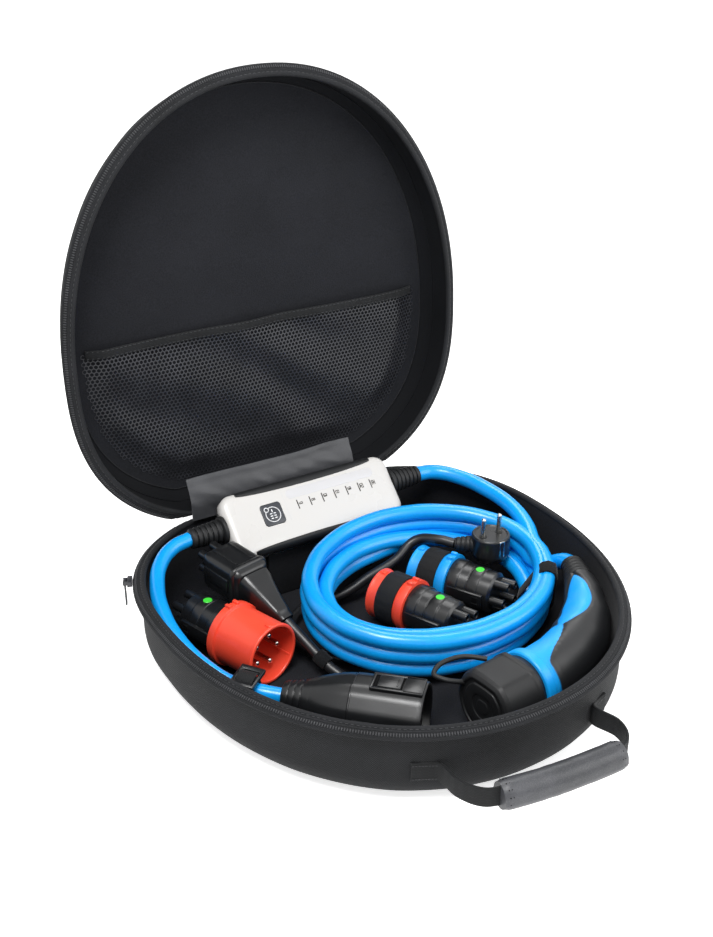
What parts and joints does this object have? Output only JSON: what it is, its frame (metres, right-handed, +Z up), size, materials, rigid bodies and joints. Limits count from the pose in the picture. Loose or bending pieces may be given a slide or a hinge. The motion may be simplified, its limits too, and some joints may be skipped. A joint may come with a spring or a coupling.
{
  "type": "portable ev charger",
  "caption": "Round zip case with a hinged lid, open, holding a vehicle charging set: control box, coiled cable with capped connector, supply coupler and mains adapters.",
  "frame": {"origin": "centre of the flat underside of the lower shell", "axes": "+Z up, +X along the hinge to the right, -Y towards the carry handle"},
  "size_m": [0.428, 0.5369, 0.4964],
  "materials": {
    "case_cloth": "plain woven nylon, matt",
    "zip_tape": "woven tape, matt",
    "lining": "smooth brushed lining",
    "net": "open knitted net",
    "webbing": "woven webbing",
    "grip_leather": "grained, semi-matt",
    "zip_metal": "black painted, satin",
    "cover_white": "moulded, satin gloss",
    "black_plastic": "moulded, fine grain",
    "soft_rubber": "moulded, soft",
    "key_dark": "moulded, satin",
    "window_grey": "translucent light bar",
    "board_green": "coated board",
    "relay_blue": "moulded relay cases",
    "ring_dark": "coated core",
    "screw_steel": "zinc plated",
    "foam": "closed-cell foam",
    "cable_blue": "extruded sheath, satin",
    "lead_black": "extruded sheath, matt",
    "signal_red": "moulded, satin",
    "core_blue": "moulded, satin",
    "pin_nickel": "nickel plated"
  },
  "bodies": {
    "base": {"base_shell": "case_cloth", "base_rim": "zip_tape", "hinge_strip": "zip_tape", "hinge_flap": "lining", "zip_slider": "zip_metal", "handle_strap": "webbing", "handle_grip": "grip_leather", "box_back": "black_plastic", "box_cover": "cover_white", "box_trim": "soft_rubber", "box_seal": "soft_rubber", "light_window": "window_grey", "circuit_board": "board_green", "relays": "relay_blue", "sensor_ring": "ring_dark", "board_screws": "screw_steel", "left_gland": "soft_rubber", "right_gland": "soft_rubber", "box_rest": "foam", "supply_cable": "cable_blue", "vehicle_cable": "cable_blue", "cable_coil": "cable_blue", "connector_cable": "cable_blue", "lead_cable": "lead_black", "coil_tie": "webbing", "lead_strap": "webbing", "cable_strap": "webbing", "strap_buckle": "black_plastic", "coupler_rear": "black_plastic", "coupler_body": "black_plastic", "coupler_insert": "black_plastic", "connector_boot": "soft_rubber", "connector_body": "core_blue", "connector_grip": "soft_rubber", "connector_head": "black_plastic", "dust_cap": "soft_rubber", "cap_tether": "soft_rubber", "cee_body": "black_plastic", "cee_sleeve": "signal_red", "cee_pins": "pin_nickel", "red_body": "black_plastic", "red_sleeve": "signal_red", "red_pins": "pin_nickel", "red_band": "webbing", "blue_body": "black_plastic", "blue_sleeve": "core_blue", "blue_pins": "pin_nickel", "blue_band": "webbing", "lead_adapter": "black_plastic", "plug_body": "black_plastic", "plug_pins": "pin_nickel"},
    "lid": {"lid_shell": "case_cloth", "lid_rim": "zip_tape", "lid_panel": "lining", "mesh_pocket": "net", "pocket_hem": "webbing"},
    "key": {"power_key": "key_dark"},
    "latch": {"coupler_latch": "black_plastic"},
    "pull": {"zip_pull": "zip_metal"}
  },
  "joints": [
    {"name": "lid_hinge", "type": "hinge", "parent": "base", "child": "lid", "pos_m": [0, 0.207, 0.0763], "axis": [1, 0, 0], "range_deg": [0, 92.85], "deforming": ["hinge_strip", "hinge_flap"]},
    {"name": "key_press", "type": "slide", "parent": "base", "child": "key", "axis": [0, 0.6947, -0.7193], "range_m": [0, 0.0008], "stiffness_N_per_m": 3000, "springref_m": -0.0002},
    {"name": "latch_press", "type": "slide", "parent": "base", "child": "latch", "axis": [0, 0, -1], "range_m": [0, 0.0015], "stiffness_N_per_m": 2000, "springref_m": -0.0003},
    {"name": "zip_pull_swing", "type": "hinge", "parent": "base", "child": "pull", "pos_m": [-0.20408, 0.13999, 0.0695], "axis": [0.4216, 0.9068, 0], "range_deg": [-12, 90]}
  ]
}
